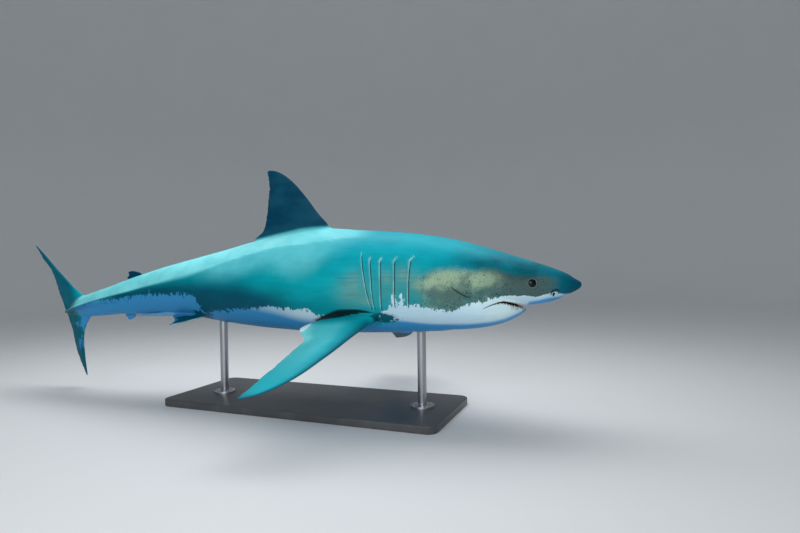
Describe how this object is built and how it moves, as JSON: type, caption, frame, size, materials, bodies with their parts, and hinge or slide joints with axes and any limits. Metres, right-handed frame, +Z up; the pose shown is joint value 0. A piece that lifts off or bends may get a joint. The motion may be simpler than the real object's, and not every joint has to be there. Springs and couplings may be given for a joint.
{
  "type": "great white shark display model",
  "caption": "Life-size still model of a great white shark with a bent swimming pose, held by two rods over a flat display base.",
  "frame": {"origin": "middle of the flat underside of the stand's base, on the floor", "axes": "+X towards the snout, +Y to the shark's left side, +Z up"},
  "size_m": [4.1716, 2.079, 1.5519],
  "materials": {
    "hide": "satin grey-teal shark hide with a fine grain",
    "hide_pale": "satin off-white belly hide",
    "fin_hide": "satin dark teal fin hide",
    "eye": "wet black",
    "stand_base": "satin charcoal paint",
    "stand_steel": "brushed"
  },
  "bodies": {
    "root": {"head": "hide", "jaw_lower": "hide_pale", "gill_region": "hide", "trunk": "hide", "tail_stalk": "hide", "dorsal_fin": "fin_hide", "second_dorsal_fin": "fin_hide", "anal_fin": "hide_pale", "tail_fin_upper_lobe": "fin_hide", "tail_fin_lower_lobe": "fin_hide", "pectoral_fin_left": "fin_hide", "pectoral_fin_right": "fin_hide", "pelvic_fin_left": "fin_hide", "pelvic_fin_right": "fin_hide", "clasper_left": "hide_pale", "clasper_right": "hide_pale", "eye_left": "eye", "eye_right": "eye", "stand_base": "stand_base", "stand_rod_front": "stand_steel", "stand_rod_rear": "stand_steel"}
  },
  "joints": []
}
